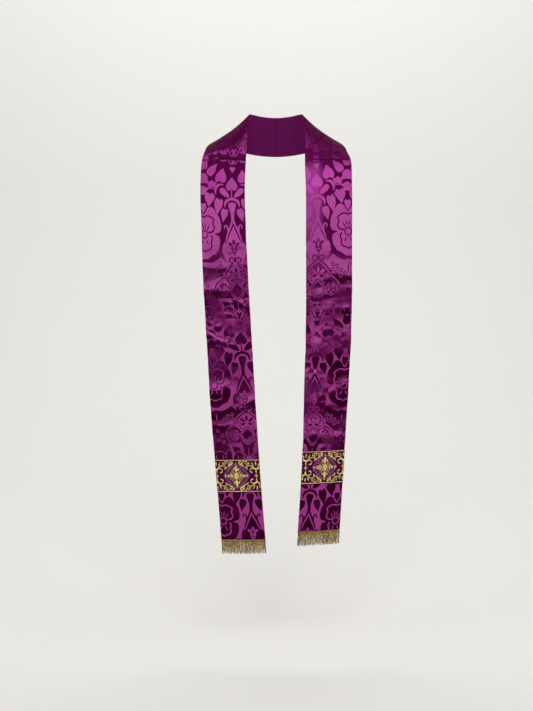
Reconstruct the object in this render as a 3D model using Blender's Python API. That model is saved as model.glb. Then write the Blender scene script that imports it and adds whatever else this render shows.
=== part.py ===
"""Clerical stole of purple damask, worn round the neck, with a galloon and a fringe at each end.

Metres, +Z up. The wearer faces -Y, so the wearer's right is at -X. The origin is at the nape, on the
upper edge of the centre-back seam, where the neck carries the stole. Every piece follows one surface,
the middle of the cloth: it is measured by a place along the stole, which is nought at the shoulder
seam, negative towards the nape and positive towards the hem, and by a share across it, which is
nought at the inner edge and one at the outer edge.
"""

import math
from bisect import bisect_right
from typing import NamedTuple

import bmesh
import bpy
from mathutils import Vector

# The cut of the stole
BAND_WIDTH = 0.128
GALLOON_HEIGHT = 0.094
HEM_BELOW_GALLOON = 0.134
FRINGE_LENGTH = 0.041
HEADING_HEIGHT = 0.007

# Thicknesses and gaps
CLOTH_THICKNESS = 0.0020  # face cloth, interlining and back cloth together
GALLOON_THICKNESS = 0.0010
HEADING_THICKNESS = 0.0014
SEAM_GAP = 0.0003

# The fringe
STRANDS = 56
STRAND_SHARE = 0.58  # of the distance between two strands that a strand fills
STRAND_SWAY = 0.0015  # how far the tips swing to the front and back
STRAND_UNEVEN = 0.0035  # how much shorter the shortest strand is

# How finely the cloth is divided
ROW_STEP = 0.0145
COLUMNS = 6
NECK_ROW_STEP = 0.0100
NECK_COLUMNS = 8


class Section(NamedTuple):
    """One straight cut across the stole, on the wearer's left. The belly stands out of its middle."""

    inner: tuple
    outer: tuple
    belly: float


class Row(NamedTuple):
    """One level of a hanging band: height, middle of the band, and how far it turns to the side."""

    z: float
    middle_x: float
    middle_y: float
    turn_deg: float
    belly: float


class Joint(NamedTuple):
    """One ring of a fringe strand, as shares of its drop, of its root's size and of its tip's swing."""

    drop: float
    size: float
    swing: float


class Fold(NamedTuple):
    """A soft ridge across a band, or a trough where its height is negative.

    It lies at a place along the band and runs down by slant towards the outer edge. It is at its
    full height at one share of the width and fades to both sides of it.
    """

    place: float
    slant: float
    height: float
    spread: float
    at_share: float
    fade: float


# From the centre-back seam, round the neck and over the shoulder, down to the seam on the chest
NECK_SECTIONS = (
    Section((0.0000, 0.0000, 0.0000), (0.0000, 0.0360, -0.1080), 0.0030),
    Section((0.0420, -0.0085, 0.0030), (0.0770, 0.0310, -0.1000), 0.0035),
    Section((0.0660, -0.0370, 0.0060), (0.1380, 0.0080, -0.0830), 0.0010),
    Section((0.0745, -0.0680, 0.0020), (0.1735, -0.0330, -0.0720), -0.0035),
    Section((0.0775, -0.0970, -0.0270), (0.1905, -0.0740, -0.0835), -0.0005),
    Section((0.0795, -0.1220, -0.0720), (0.1985, -0.1040, -0.1030), 0.0030),
)

# From the shoulder seam down to the hem. The photograph shows the wearer's right end hanging lower.
BAND_ROWS = {
    "right": (
        Row(-0.124, -0.1430, -0.138, 18.0, 0.0040),
        Row(-0.200, -0.1460, -0.169, 17.0, 0.0040),
        Row(-0.300, -0.1432, -0.187, 18.0, 0.0030),
        Row(-0.450, -0.1374, -0.196, 14.0, 0.0020),
        Row(-0.600, -0.1292, -0.200, 13.0, 0.0030),
        Row(-0.800, -0.1180, -0.207, 11.0, 0.0030),
        Row(-1.000, -0.1040, -0.214, 15.0, 0.0020),
        Row(-1.172, -0.0908, -0.220, 14.0, 0.0030),
    ),
    "left": (
        Row(-0.124, 0.1425, -0.137, 8.0, 0.0040),
        Row(-0.200, 0.1442, -0.169, 8.0, 0.0040),
        Row(-0.350, 0.1444, -0.190, 9.0, 0.0030),
        Row(-0.500, 0.1450, -0.197, 9.0, 0.0030),
        Row(-0.620, 0.1435, -0.200, 11.0, 0.0020),
        Row(-0.750, 0.1388, -0.204, 15.0, 0.0030),
        Row(-0.900, 0.1334, -0.209, 21.0, 0.0030),
        Row(-1.030, 0.1270, -0.213, 22.0, 0.0030),
        Row(-1.148, 0.1202, -0.217, 21.0, 0.0020),
    ),
}

# The largest folds that show, one row each
FOLDS = {
    "right": (
        Fold(0.235, 0.010, 0.0045, 0.022, 0.45, 0.60),
        Fold(0.290, -0.012, 0.0035, 0.014, 0.60, 0.45),
        Fold(0.352, 0.006, 0.0040, 0.017, 0.40, 0.55),
        Fold(0.500, -0.040, 0.0035, 0.030, 0.70, 0.50),
        Fold(0.680, 0.015, 0.0025, 0.026, 0.30, 0.60),
    ),
    "left": (
        Fold(0.255, 0.012, 0.0040, 0.024, 0.55, 0.60),
        Fold(0.372, -0.022, 0.0045, 0.015, 0.60, 0.70),
        Fold(0.520, 0.012, 0.0035, 0.022, 0.40, 0.55),
        Fold(0.660, -0.018, 0.0030, 0.024, 0.60, 0.60),
        Fold(0.770, 0.014, 0.0025, 0.020, 0.35, 0.55),
    ),
}

# Half way down a strand and at its tip
STRAND_JOINTS = (
    Joint(0.5, 0.85, 0.35),
    Joint(1.0, 0.55, 1.00),
)

# Finishes: colour, roughness and metallic value
DAMASK = ((0.26, 0.02, 0.22), 0.42, 0.0)
GALLOON = ((0.62, 0.46, 0.20), 0.45, 0.4)
FRINGE = ((0.72, 0.55, 0.24), 0.40, 0.6)

# Small steps that the way out of the cloth is measured over: along it in metres, and across it
STEP = 0.0005
SHARE_STEP = 0.004

# Faces that meet at more than this are shaded with a sharp edge between them
SHARP_EDGE_DEG = 40


def mirrored(point):
    """The same point on the wearer's right."""
    return Vector((-point[0], point[1], point[2]))


def band_section(rows, index, inward):
    """The cut across a band at one of its rows, square to the band as it is seen from the front."""
    above = rows[max(index - 1, 0)]
    below = rows[min(index + 1, len(rows) - 1)]
    run = Vector((below.middle_x - above.middle_x, 0.0, below.z - above.z)).normalized()
    row = rows[index]
    turn = math.radians(row.turn_deg)
    across = Vector((inward * math.cos(turn), -math.sin(turn), 0.0))
    across = (across - across.dot(run) * run).normalized()
    middle = Vector((row.middle_x, row.middle_y, row.z))
    half = across * (BAND_WIDTH / 2)
    return Section(middle + half, middle - half, row.belly)


def spline_value(places, values, slopes, place):
    """A smooth curve through the values, and straight on past its ends."""
    if place <= places[0]:
        return values[0] + (place - places[0]) * slopes[0]
    if place >= places[-1]:
        return values[-1] + (place - places[-1]) * slopes[-1]
    at = bisect_right(places, place) - 1
    length = places[at + 1] - places[at]
    t = (place - places[at]) / length
    return (
        values[at] * (1 + 2 * t) * (1 - t) ** 2
        + slopes[at] * (length * t * (1 - t) ** 2)
        + values[at + 1] * t * t * (3 - 2 * t)
        + slopes[at + 1] * (length * t * t * (t - 1))
    )


def spline_slopes(places, values):
    """The slope at each value: that of the curve through it and its two neighbours."""
    steps = [
        (values[i + 1] - values[i]) / (places[i + 1] - places[i]) for i in range(len(places) - 1)
    ]
    slopes = [steps[0]]
    for i in range(1, len(steps)):
        before = places[i] - places[i - 1]
        after = places[i + 1] - places[i]
        slopes.append((steps[i - 1] * after + steps[i] * before) / (before + after))
    slopes.append(steps[-1])
    return slopes


class Half:
    """The middle surface of one half of the stole, from the nape to its hem."""

    def __init__(self, side):
        rows = BAND_ROWS[side]
        inward = 1.0 if side == "right" else -1.0
        neck = [
            Section(Vector(s.inner), Vector(s.outer), s.belly)
            if side == "left"
            else Section(mirrored(s.inner), mirrored(s.outer), s.belly)
            for s in NECK_SECTIONS
        ]
        sections = neck + [band_section(rows, i, inward) for i in range(len(rows))]
        self.places = self._measured(sections, len(neck))
        self.inner = [s.inner for s in sections]
        self.outer = [s.outer for s in sections]
        self.belly = [s.belly for s in sections]
        self.inner_slopes = spline_slopes(self.places, self.inner)
        self.outer_slopes = spline_slopes(self.places, self.outer)
        self.belly_slopes = spline_slopes(self.places, self.belly)
        # The centre-back seam is square to the run of the cloth, so the two halves meet smoothly.
        self.inner_slopes[0] = Vector((self.inner_slopes[0].x, 0.0, 0.0))
        self.outer_slopes[0] = Vector((self.outer_slopes[0].x, 0.0, 0.0))
        self.folds = FOLDS[side]
        self.outward = -inward
        self.nape = self.places[0]
        self.hem = self.places[-1]

    @staticmethod
    def _measured(sections, seam_index):
        """The sections' places, measured along the middle of the cloth from the shoulder seam."""
        middles = [(s.inner + s.outer) / 2 for s in sections]
        places = [0.0]
        for before, after in zip(middles, middles[1:]):
            places.append(places[-1] + (after - before).length)
        seam = places[seam_index]
        return [place - seam for place in places]

    def _fold(self, place, share):
        """How far the folds push the cloth out."""
        out = 0.0
        for fold in self.folds:
            along = place - fold.place - fold.slant * (share - 0.5)
            beside = share - fold.at_share
            out += fold.height * math.exp(-((along / fold.spread) ** 2 + (beside / fold.fade) ** 2))
        return out

    def middle(self, place, share):
        """A point in the middle of the cloth."""
        inner = spline_value(self.places, self.inner, self.inner_slopes, place)
        outer = spline_value(self.places, self.outer, self.outer_slopes, place)
        belly = spline_value(self.places, self.belly, self.belly_slopes, place)
        inner_next = spline_value(self.places, self.inner, self.inner_slopes, place + STEP)
        outer_next = spline_value(self.places, self.outer, self.outer_slopes, place + STEP)
        run = (inner_next + outer_next) - (inner + outer)
        out = (outer - inner).cross(run).normalized() * -self.outward
        push = belly * 4 * share * (1 - share) + self._fold(place, share)
        return inner.lerp(outer, share) + out * push

    def out(self, place, share):
        """The way out of the cloth, square to it."""
        down = self.middle(place + STEP, share) - self.middle(place - STEP, share)
        across = self.middle(place, share + SHARE_STEP) - self.middle(place, share - SHARE_STEP)
        return across.cross(down).normalized() * -self.outward

    def point(self, place, share, height):
        """A point that stands out of the middle of the cloth by a height, or in where it is negative."""
        return self.middle(place, share) + self.out(place, share) * height


def stretch(start, end, step):
    """Evenly spaced places from start to end, about a step apart."""
    count = max(1, round((end - start) / step))
    return [start + (end - start) * i / count for i in range(count + 1)]


def material(name, colour, roughness, metallic):
    finish = bpy.data.materials.new(name)
    finish.use_nodes = True
    shader = finish.node_tree.nodes["Principled BSDF"]
    shader.inputs["Base Color"].default_value = (*colour, 1.0)
    shader.inputs["Roughness"].default_value = roughness
    shader.inputs["Metallic"].default_value = metallic
    return finish


def add_object(name, mesh, finish):
    """Turn the mesh outside out, give it its material and put it in the scene."""
    bmesh.ops.recalc_face_normals(mesh, faces=mesh.faces)
    data = bpy.data.meshes.new(name)
    mesh.to_mesh(data)
    mesh.free()
    data.materials.append(material(name, *finish))
    data.shade_smooth()
    data.set_sharp_from_angle(angle=math.radians(SHARP_EDGE_DEG))
    bpy.context.scene.collection.objects.link(bpy.data.objects.new(name, data))


def wall(name, half, places, columns, inside, outside, finish):
    """A closed wall between two heights over the middle of the cloth, across its whole width."""
    mesh = bmesh.new()
    shares = [i / columns for i in range(columns + 1)]
    skins = []
    for height in (inside, outside):
        skins.append(
            [[mesh.verts.new(half.point(place, share, height)) for share in shares] for place in places]
        )
    for skin in skins:
        for upper, lower in zip(skin, skin[1:]):
            for i in range(columns):
                mesh.faces.new((upper[i], upper[i + 1], lower[i + 1], lower[i]))
    inner_skin, outer_skin = skins
    rims = (
        (inner_skin[0], outer_skin[0]),
        (inner_skin[-1], outer_skin[-1]),
        ([row[0] for row in inner_skin], [row[0] for row in outer_skin]),
        ([row[-1] for row in inner_skin], [row[-1] for row in outer_skin]),
    )
    for under, over in rims:
        for i in range(len(under) - 1):
            mesh.faces.new((under[i], under[i + 1], over[i + 1], over[i]))
    add_object(name, mesh, finish)


def strand_reach(index):
    """How far down a strand hangs, and how far its tip swings out: uneven, and the same each time."""
    uneven = 0.5 + 0.5 * math.sin(index * 2.4) * math.cos(index * 0.7)
    swing = math.sin(index * 1.7) + 0.5 * math.sin(index * 4.1)
    return FRINGE_LENGTH - STRAND_UNEVEN * uneven, STRAND_SWAY * swing


def strand(mesh, half, root, middle, start, index):
    """One strand, drawn out of the heading's lower face ring by ring. Returns the corners of its tip."""
    reach, swing = strand_reach(index)
    thick = HEADING_THICKNESS / 2
    beside = STRAND_SHARE / STRANDS / 2
    for joint in STRAND_JOINTS:
        place = start + (half.hem + reach - start) * joint.drop
        ring = [
            mesh.verts.new(
                half.point(
                    place,
                    middle + way * beside * joint.size,
                    swing * joint.swing + side * thick * joint.size,
                )
            )
            for way, side in ((-1, 1), (1, 1), (1, -1), (-1, -1))
        ]
        for k in range(4):
            next_k = (k + 1) % 4
            mesh.faces.new((root[k], root[next_k], ring[next_k], ring[k]))
        root = ring
    return root


def fringe(name, half):
    """A heading strip along the hem with the strands fused to it, side by side and apart."""
    mesh = bmesh.new()
    top = half.hem + SEAM_GAP
    bottom = top + HEADING_HEIGHT
    thick = HEADING_THICKNESS / 2
    pitch = 1.0 / STRANDS
    beside = pitch * STRAND_SHARE / 2
    # The heading is cut through at both sides of each strand, so every second stretch has a strand.
    shares = [0.0]
    for i in range(STRANDS):
        shares += [(i + 0.5) * pitch - beside, (i + 0.5) * pitch + beside]
    shares.append(1.0)
    corners = ((top, -thick), (top, thick), (bottom, thick), (bottom, -thick))
    rings = [
        [mesh.verts.new(half.point(place, share, height)) for place, height in corners]
        for share in shares
    ]
    mesh.faces.new(rings[0])
    mesh.faces.new(rings[-1])
    for i, (before, after) in enumerate(zip(rings, rings[1:])):
        for k, next_k in ((0, 1), (1, 2), (3, 0)):
            mesh.faces.new((before[k], after[k], after[next_k], before[next_k]))
        root = (before[2], after[2], after[3], before[3])
        if i % 2 == 1:
            root = strand(mesh, half, root, (shares[i] + shares[i + 1]) / 2, bottom, i // 2)
        mesh.faces.new(root)
    add_object(name, mesh, FRINGE)


def build_half(side):
    """The neck piece, the band, its galloon and its fringe on one side."""
    half = Half(side)
    cloth = CLOTH_THICKNESS / 2
    galloon_bottom = half.hem - HEM_BELOW_GALLOON
    galloon_top = galloon_bottom - GALLOON_HEIGHT
    galloon_places = stretch(galloon_top, galloon_bottom, ROW_STEP)
    neck_places = stretch(half.nape, -SEAM_GAP / 2, NECK_ROW_STEP)
    # Half of the gap at the centre-back seam is on each side.
    neck_places[0] += SEAM_GAP / 2
    band_places = (
        stretch(SEAM_GAP / 2, galloon_top, ROW_STEP)[:-1]
        + galloon_places
        + stretch(galloon_bottom, half.hem, ROW_STEP)[1:]
    )
    wall(f"neck_{side}", half, neck_places, NECK_COLUMNS, -cloth, cloth, DAMASK)
    wall(f"band_{side}", half, band_places, COLUMNS, -cloth, cloth, DAMASK)
    under = cloth + SEAM_GAP
    over = under + GALLOON_THICKNESS
    wall(f"galloon_{side}", half, galloon_places, COLUMNS, under, over, GALLOON)
    fringe(f"fringe_{side}", half)


for existing in list(bpy.data.objects):
    bpy.data.objects.remove(existing)
for side in ("right", "left"):
    build_half(side)
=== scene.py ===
"""Clerical stole of purple silk damask with gold galloons and fringes, worn round the neck."""

import math

import bmesh
import bpy
import numpy as np
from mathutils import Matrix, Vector
from mathutils.geometry import delaunay_2d_cdt
from mathutils.kdtree import KDTree


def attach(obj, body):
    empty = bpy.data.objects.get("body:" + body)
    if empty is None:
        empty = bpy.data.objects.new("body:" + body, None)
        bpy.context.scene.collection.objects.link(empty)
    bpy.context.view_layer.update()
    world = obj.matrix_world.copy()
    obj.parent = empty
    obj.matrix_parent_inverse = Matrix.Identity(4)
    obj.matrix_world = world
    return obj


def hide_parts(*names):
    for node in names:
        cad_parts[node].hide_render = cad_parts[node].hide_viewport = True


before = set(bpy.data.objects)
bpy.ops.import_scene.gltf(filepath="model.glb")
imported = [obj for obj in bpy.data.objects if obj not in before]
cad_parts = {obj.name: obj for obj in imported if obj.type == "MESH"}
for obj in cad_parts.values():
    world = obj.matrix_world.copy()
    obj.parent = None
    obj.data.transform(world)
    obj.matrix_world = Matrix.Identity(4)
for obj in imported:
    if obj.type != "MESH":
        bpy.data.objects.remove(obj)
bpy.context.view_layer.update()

# Camera
# It stands in front of the chest, 3.2 m before the neck, and looks a little down.
CAMERA_PLACE = (-0.026, -3.20, -0.26)
CAMERA_DOWN = 7.535
CAMERA_LENS = 55.7
camera_data = bpy.data.cameras.new("camera")
camera_data.lens = CAMERA_LENS
camera_data.sensor_width = 36.0
camera = bpy.data.objects.new("camera", camera_data)
camera.location = CAMERA_PLACE
camera.rotation_euler = (math.radians(90.0 - CAMERA_DOWN), 0.0, 0.0)
bpy.context.scene.collection.objects.link(camera)
bpy.context.scene.camera = camera
bpy.context.scene.view_settings.view_transform = "Standard"

# Floor and light
# A plain pale floor that curves up into a wall behind, a broad soft lamp high in front, and a paler
# one at each side.
FLOOR_FRONT, FLOOR_HEIGHT, FLOOR_SIDE = -6.0, -1.52, 7.0
BEND_START, BEND_RADIUS, BEND_PARTS = 1.6, 1.4, 9
WALL_TOP = 4.0
LAMP_AIM = (0.0, 0.0, -0.6)


def studio_floor():
    profile = [(FLOOR_FRONT, FLOOR_HEIGHT)]
    for k in range(BEND_PARTS + 1):
        turn = math.pi / 2 * k / BEND_PARTS
        profile.append((BEND_START + BEND_RADIUS * math.sin(turn),
                        FLOOR_HEIGHT + BEND_RADIUS * (1.0 - math.cos(turn))))
    profile.append((BEND_START + BEND_RADIUS, WALL_TOP))
    verts = [(x, y, z) for y, z in profile for x in (-FLOOR_SIDE, FLOOR_SIDE)]
    faces = [(2 * i, 2 * i + 1, 2 * i + 3, 2 * i + 2) for i in range(len(profile) - 1)]
    data = bpy.data.meshes.new("floor")
    data.from_pydata(verts, [], faces)
    data.shade_smooth()
    floor = bpy.data.objects.new("floor", data)
    bpy.context.scene.collection.objects.link(floor)
    paint = bpy.data.materials.new("pale_floor")
    paint.use_nodes = True
    shader = paint.node_tree.nodes["Principled BSDF"]
    shader.inputs["Base Color"].default_value = (0.88, 0.87, 0.84, 1.0)
    shader.inputs["Roughness"].default_value = 0.9
    data.materials.append(paint)


def soft_lamp(name, place, aim, size, watts):
    data = bpy.data.lights.new(name, "AREA")
    data.shape = "RECTANGLE"
    data.size, data.size_y = size
    data.energy = watts
    lamp = bpy.data.objects.new(name, data)
    lamp.location = place
    lamp.rotation_euler = (Vector(aim) - Vector(place)).to_track_quat("-Z", "Y").to_euler()
    bpy.context.scene.collection.objects.link(lamp)


studio_floor()
soft_lamp("key_lamp", (0.2, -3.0, 2.4), LAMP_AIM, (2.4, 1.4), 52.0)
soft_lamp("left_lamp", (-3.2, -1.6, 0.6), LAMP_AIM, (1.6, 2.2), 18.0)
soft_lamp("right_lamp", (3.2, -1.6, 0.6), LAMP_AIM, (1.6, 2.2), 18.0)
soft_lamp("wall_lamp", (0.0, 1.0, 2.9), (0.0, 2.6, -0.6), (4.0, 0.8), 60.0)
world = bpy.data.worlds.new("studio")
world.use_nodes = True
world.node_tree.nodes["Background"].inputs["Color"].default_value = (1.0, 0.99, 0.97, 1.0)
world.node_tree.nodes["Background"].inputs["Strength"].default_value = 0.40
bpy.context.scene.world = world

# Neck pieces
# Two shaped pieces of damask with interlining and a plain back cloth, joined at the centre back.
# Each lies over a shoulder and is seamed to its front band on the chest.
BAND_WIDTH = 0.128
CLOTH_THICKNESS = 0.0020
SEAM_GAP = 0.0003
SLANTED_GAP = 0.00045
SEAM_SLANT = 0.0008
EDGE_ROUNDING = 0.0008
ALONG_STEP, ACROSS_STEP = 0.0005, 0.004
CM = 100

# The inner edge, the outer edge and the belly of each cut across the wearer's left neck piece
NECK_SECTIONS = (
    ((0.0000, 0.0000, 0.0000), (0.0000, 0.0360, -0.1080), 0.0030),
    ((0.0420, -0.0085, 0.0030), (0.0770, 0.0310, -0.1000), 0.0035),
    ((0.0660, -0.0370, 0.0060), (0.1380, 0.0080, -0.0830), 0.0010),
    ((0.0745, -0.0680, 0.0020), (0.1735, -0.0330, -0.0720), -0.0035),
    ((0.0775, -0.0970, -0.0270), (0.1905, -0.0740, -0.0835), -0.0005),
    ((0.0795, -0.1220, -0.0720), (0.1985, -0.1040, -0.1030), 0.0030),
)
# Height, middle across, middle to the back, turn in degrees and belly of each level of a band
BAND_ROWS = {
    "right": (
        (-0.124, -0.1430, -0.138, 18.0, 0.0040),
        (-0.200, -0.1460, -0.169, 17.0, 0.0040),
        (-0.300, -0.1432, -0.187, 18.0, 0.0030),
        (-0.450, -0.1374, -0.196, 14.0, 0.0020),
        (-0.600, -0.1292, -0.200, 13.0, 0.0030),
        (-0.800, -0.1180, -0.207, 11.0, 0.0030),
        (-1.000, -0.1040, -0.214, 15.0, 0.0020),
        (-1.172, -0.0908, -0.220, 14.0, 0.0030),
    ),
    "left": (
        (-0.124, 0.1425, -0.137, 8.0, 0.0040),
        (-0.200, 0.1442, -0.169, 8.0, 0.0040),
        (-0.350, 0.1444, -0.190, 9.0, 0.0030),
        (-0.500, 0.1450, -0.197, 9.0, 0.0030),
        (-0.620, 0.1435, -0.200, 11.0, 0.0020),
        (-0.750, 0.1388, -0.204, 15.0, 0.0030),
        (-0.900, 0.1334, -0.209, 21.0, 0.0030),
        (-1.030, 0.1270, -0.213, 22.0, 0.0030),
        (-1.148, 0.1202, -0.217, 21.0, 0.0020),
    ),
}
# Broad folds: place, slant, height, spread, share across the cloth, and how far they fade
FOLDS = {
    "right": (
        (0.235, 0.010, 0.0030, 0.022, 0.45, 0.60),
        (0.290, -0.012, 0.0025, 0.015, 0.60, 0.45),
        (0.352, 0.006, 0.0030, 0.018, 0.40, 0.55),
        (0.500, -0.040, 0.0030, 0.030, 0.70, 0.50),
        (0.680, 0.015, 0.0025, 0.026, 0.30, 0.60),
    ),
    "left": (
        (0.255, 0.012, 0.0028, 0.024, 0.55, 0.60),
        (0.372, -0.022, 0.0034, 0.016, 0.60, 0.70),
        (0.520, 0.012, 0.0028, 0.022, 0.40, 0.55),
        (0.660, -0.018, 0.0030, 0.024, 0.60, 0.60),
        (0.770, 0.014, 0.0025, 0.020, 0.35, 0.55),
    ),
}
# Finer creases: from place and share, to place and share, height and half width
CREASES = {
    "right": (
        (0.296, 1.02, 0.305, 0.40, 0.0024, 0.0090),
        (0.360, 1.02, 0.366, 0.42, 0.0034, 0.0140),
        (0.402, -0.02, 0.394, 0.42, 0.0020, 0.0100),
        (0.436, 0.15, 0.428, 0.75, 0.0012, 0.0080),
        (0.478, 1.00, 0.522, 0.36, 0.0022, 0.0080),
        (0.470, -0.05, 0.482, 0.40, 0.0014, 0.0120),
        (0.560, 0.10, 0.548, 0.80, 0.0014, 0.0110),
        (0.640, 1.05, 0.630, 0.48, 0.0034, 0.0200),
        (0.668, -0.02, 0.690, 0.55, 0.0016, 0.0100),
        (0.742, 0.95, 0.730, 0.35, 0.0018, 0.0110),
        (0.785, 0.00, 0.800, 0.60, 0.0014, 0.0120),
        (0.985, 0.10, 0.992, 0.80, 0.0006, 0.0140),
    ),
    "left": (
        (0.318, 0.30, 0.318, 1.05, 0.0038, 0.0220),
        (0.390, -0.05, 0.377, 1.05, -0.0016, 0.0056),
        (0.425, 0.05, 0.416, 1.05, 0.0028, 0.0200),
        (0.478, 0.30, 0.468, 0.85, 0.0020, 0.0100),
        (0.500, 0.72, 0.490, 1.05, 0.0028, 0.0200),
        (0.534, -0.05, 0.524, 0.50, 0.0016, 0.0100),
        (0.612, 1.00, 0.652, 0.36, 0.0026, 0.0100),
        (0.586, 0.00, 0.600, 0.45, 0.0012, 0.0100),
        (0.682, 0.95, 0.674, 0.30, 0.0018, 0.0110),
        (0.722, -0.02, 0.734, 0.50, 0.0014, 0.0110),
        (0.768, 0.95, 0.758, 0.25, 0.0022, 0.0120),
        (0.975, 0.10, 0.970, 0.70, 0.0006, 0.0140),
    ),
}
# A crease wavers by so much, is even about its middle and fades out: shares of its length
CREASE_WAVER = 0.003
CREASE_EVEN, CREASE_FADE = 0.28, 0.22
# Soft unevenness between them: how many dents, their height, and how strong they are at each place
DENTS = 150
DENT_HEIGHT = 0.0009
DENT_PLACES = (-0.28, -0.05, 0.02, 0.18, 0.26, 0.60, 0.82, 0.86, 0.95, 1.06)
DENT_STRENGTH = (0.3, 0.5, 0.25, 0.35, 1.0, 1.1, 0.6, 0.2, 0.2, 0.25)


def spline_slopes(places, values):
    """The slope at each value: that of the curve through it and its two neighbours."""
    gaps = np.diff(places)[:, None]
    steps = np.diff(values, axis=0) / gaps
    inner = (steps[:-1] * gaps[1:] + steps[1:] * gaps[:-1]) / (gaps[:-1] + gaps[1:])
    return np.vstack([steps[:1], inner, steps[-1:]])


def unit(vectors):
    """The vectors, each made one unit long."""
    return vectors / np.linalg.norm(vectors, axis=-1, keepdims=True)


class Hang:
    """The middle of the cloth of one half of the stole, from the nape to its hem.

    It is measured by the place along it, nought at the chest seam, and by the share across it,
    nought at the inner edge and one at the outer edge.
    """

    def __init__(self, side):
        self.inward = 1.0 if side == "right" else -1.0
        turned = np.array([-self.inward, 1.0, 1.0])
        cuts = [np.hstack([np.array(i) * turned, np.array(o) * turned, b]) for i, o, b in NECK_SECTIONS]
        seam = len(cuts)
        rows = BAND_ROWS[side]
        for k, (z, x, y, turn, belly) in enumerate(rows):
            above, below = rows[max(k - 1, 0)], rows[min(k + 1, len(rows) - 1)]
            run = unit(np.array([below[1] - above[1], 0.0, below[0] - above[0]]))
            turn = math.radians(turn)
            across = np.array([self.inward * math.cos(turn), -math.sin(turn), 0.0])
            across = unit(across - across.dot(run) * run) * BAND_WIDTH / 2
            middle = np.array([x, y, z])
            cuts.append(np.hstack([middle + across, middle - across, belly]))
        self.cuts = np.array(cuts)
        middles = (self.cuts[:, 0:3] + self.cuts[:, 3:6]) / 2
        runs = np.linalg.norm(np.diff(middles, axis=0), axis=1)
        self.places = np.concatenate([[0.0], np.cumsum(runs)])
        self.places -= self.places[seam]
        self.slopes = spline_slopes(self.places, self.cuts)
        self.slopes[0, [1, 2, 4, 5]] = 0.0
        self.folds, self.creases = FOLDS[side], CREASES[side]
        self.nape, self.hem = self.places[0], self.places[-1]
        # Place, share, turn, height, half width and half length of each dent
        chance = np.random.default_rng(3 if side == "right" else 11)
        self.dents = np.stack([
            chance.uniform(self.nape, self.hem + 0.04, DENTS), chance.uniform(-0.1, 1.1, DENTS),
            chance.uniform(-0.5, 0.5, DENTS), chance.uniform(-1.0, 1.0, DENTS),
            chance.uniform(0.007, 0.015, DENTS), chance.uniform(0.018, 0.045, DENTS)], axis=1)

    def cut_at(self, place):
        """The cut across the cloth at a place, straight on past both ends."""
        k = np.clip(np.searchsorted(self.places, place, side="right") - 1, 0, len(self.places) - 2)
        gap = (self.places[k + 1] - self.places[k])[:, None]
        t = np.clip((place - self.places[k])[:, None] / gap, 0.0, 1.0)
        cut = (
            self.cuts[k] * (1 + 2 * t) * (1 - t) ** 2
            + self.slopes[k] * gap * t * (1 - t) ** 2
            + self.cuts[k + 1] * t * t * (3 - 2 * t)
            + self.slopes[k + 1] * gap * t * t * (t - 1)
        )
        before = np.minimum(place - self.places[0], 0.0)[:, None] * self.slopes[0]
        after = np.maximum(place - self.places[-1], 0.0)[:, None] * self.slopes[-1]
        return cut + before + after

    def push(self, place, share):
        """How far the folds and creases push the cloth out."""
        out = np.zeros_like(place)
        for at, slant, height, spread, at_share, fade in self.folds:
            along = place - at - slant * (share - 0.5)
            out += height * np.exp(-((along / spread) ** 2 + ((share - at_share) / fade) ** 2))
        for start, start_share, end, end_share, height, spread in self.creases:
            run = np.array([end - start, (end_share - start_share) * BAND_WIDTH])
            length = np.linalg.norm(run)
            run /= length
            dx, dy = place - start, (share - start_share) * BAND_WIDTH
            along = (dx * run[0] + dy * run[1]) / length
            beside = dx * run[1] - dy * run[0] + CREASE_WAVER * np.sin(5.0 * along + 40.0 * start)
            beyond = np.maximum(np.abs(along - 0.5) - CREASE_EVEN, 0.0) / CREASE_FADE
            out += height * np.exp(-((beside / spread) ** 2) - beyond ** 2)
        soft = np.zeros_like(place)
        for at, at_share, turn, height, spread, reach in self.dents:
            dx, dy = place - at, (share - at_share) * BAND_WIDTH
            along = dy * math.cos(turn) + dx * math.sin(turn)
            beside = dx * math.cos(turn) - dy * math.sin(turn)
            soft += height * np.exp(-((beside / spread) ** 2) - (along / reach) ** 2)
        return out + DENT_HEIGHT * soft * np.interp(place, DENT_PLACES, DENT_STRENGTH)

    def middle(self, place, share):
        """Points in the middle of the cloth."""
        cut, onward = self.cut_at(place), self.cut_at(place + ALONG_STEP)
        inner, outer = cut[:, 0:3], cut[:, 3:6]
        run = (onward[:, 0:3] + onward[:, 3:6]) - (inner + outer)
        out = unit(np.cross(outer - inner, run)) * self.inward
        push = cut[:, 6] * 4 * share * (1 - share) + self.push(place, share)
        return inner + (outer - inner) * share[:, None] + out * push[:, None]

    def ways(self, place, share):
        """The ways across, down and out of the cloth, each one unit long."""
        down = self.middle(place + ALONG_STEP, share) - self.middle(place - ALONG_STEP, share)
        across = self.middle(place, share + ACROSS_STEP) - self.middle(place, share - ACROSS_STEP)
        return unit(across), unit(down), unit(np.cross(across, down)) * self.inward

    def point(self, place, share, height):
        """Points that stand out of the middle of the cloth by a height."""
        place, share = np.asarray(place, float), np.asarray(share, float)
        height = np.broadcast_to(np.asarray(height, float), place.shape)
        return self.middle(place, share) + self.ways(place, share)[2] * height[:, None]


# The damask's figures are drawn in centimetres on a half repeat: across from the middle of the
# stalk to the middle of the rose, and down from the top of an arch.
# The cloth was cut a little askew, so the stalk wanders across the band: places and shares
STALK_PLACES = (0.00, 0.10, 0.25, 0.45, 0.75, 0.88, 0.90, 1.06)
STALK_SHARES = {
    "right": (0.28, 0.285, 0.265, 0.235, 0.215, 0.22, 0.26, 0.26),
    "left": (0.245, 0.235, 0.265, 0.235, 0.215, 0.22, 0.22, 0.22),
}
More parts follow.
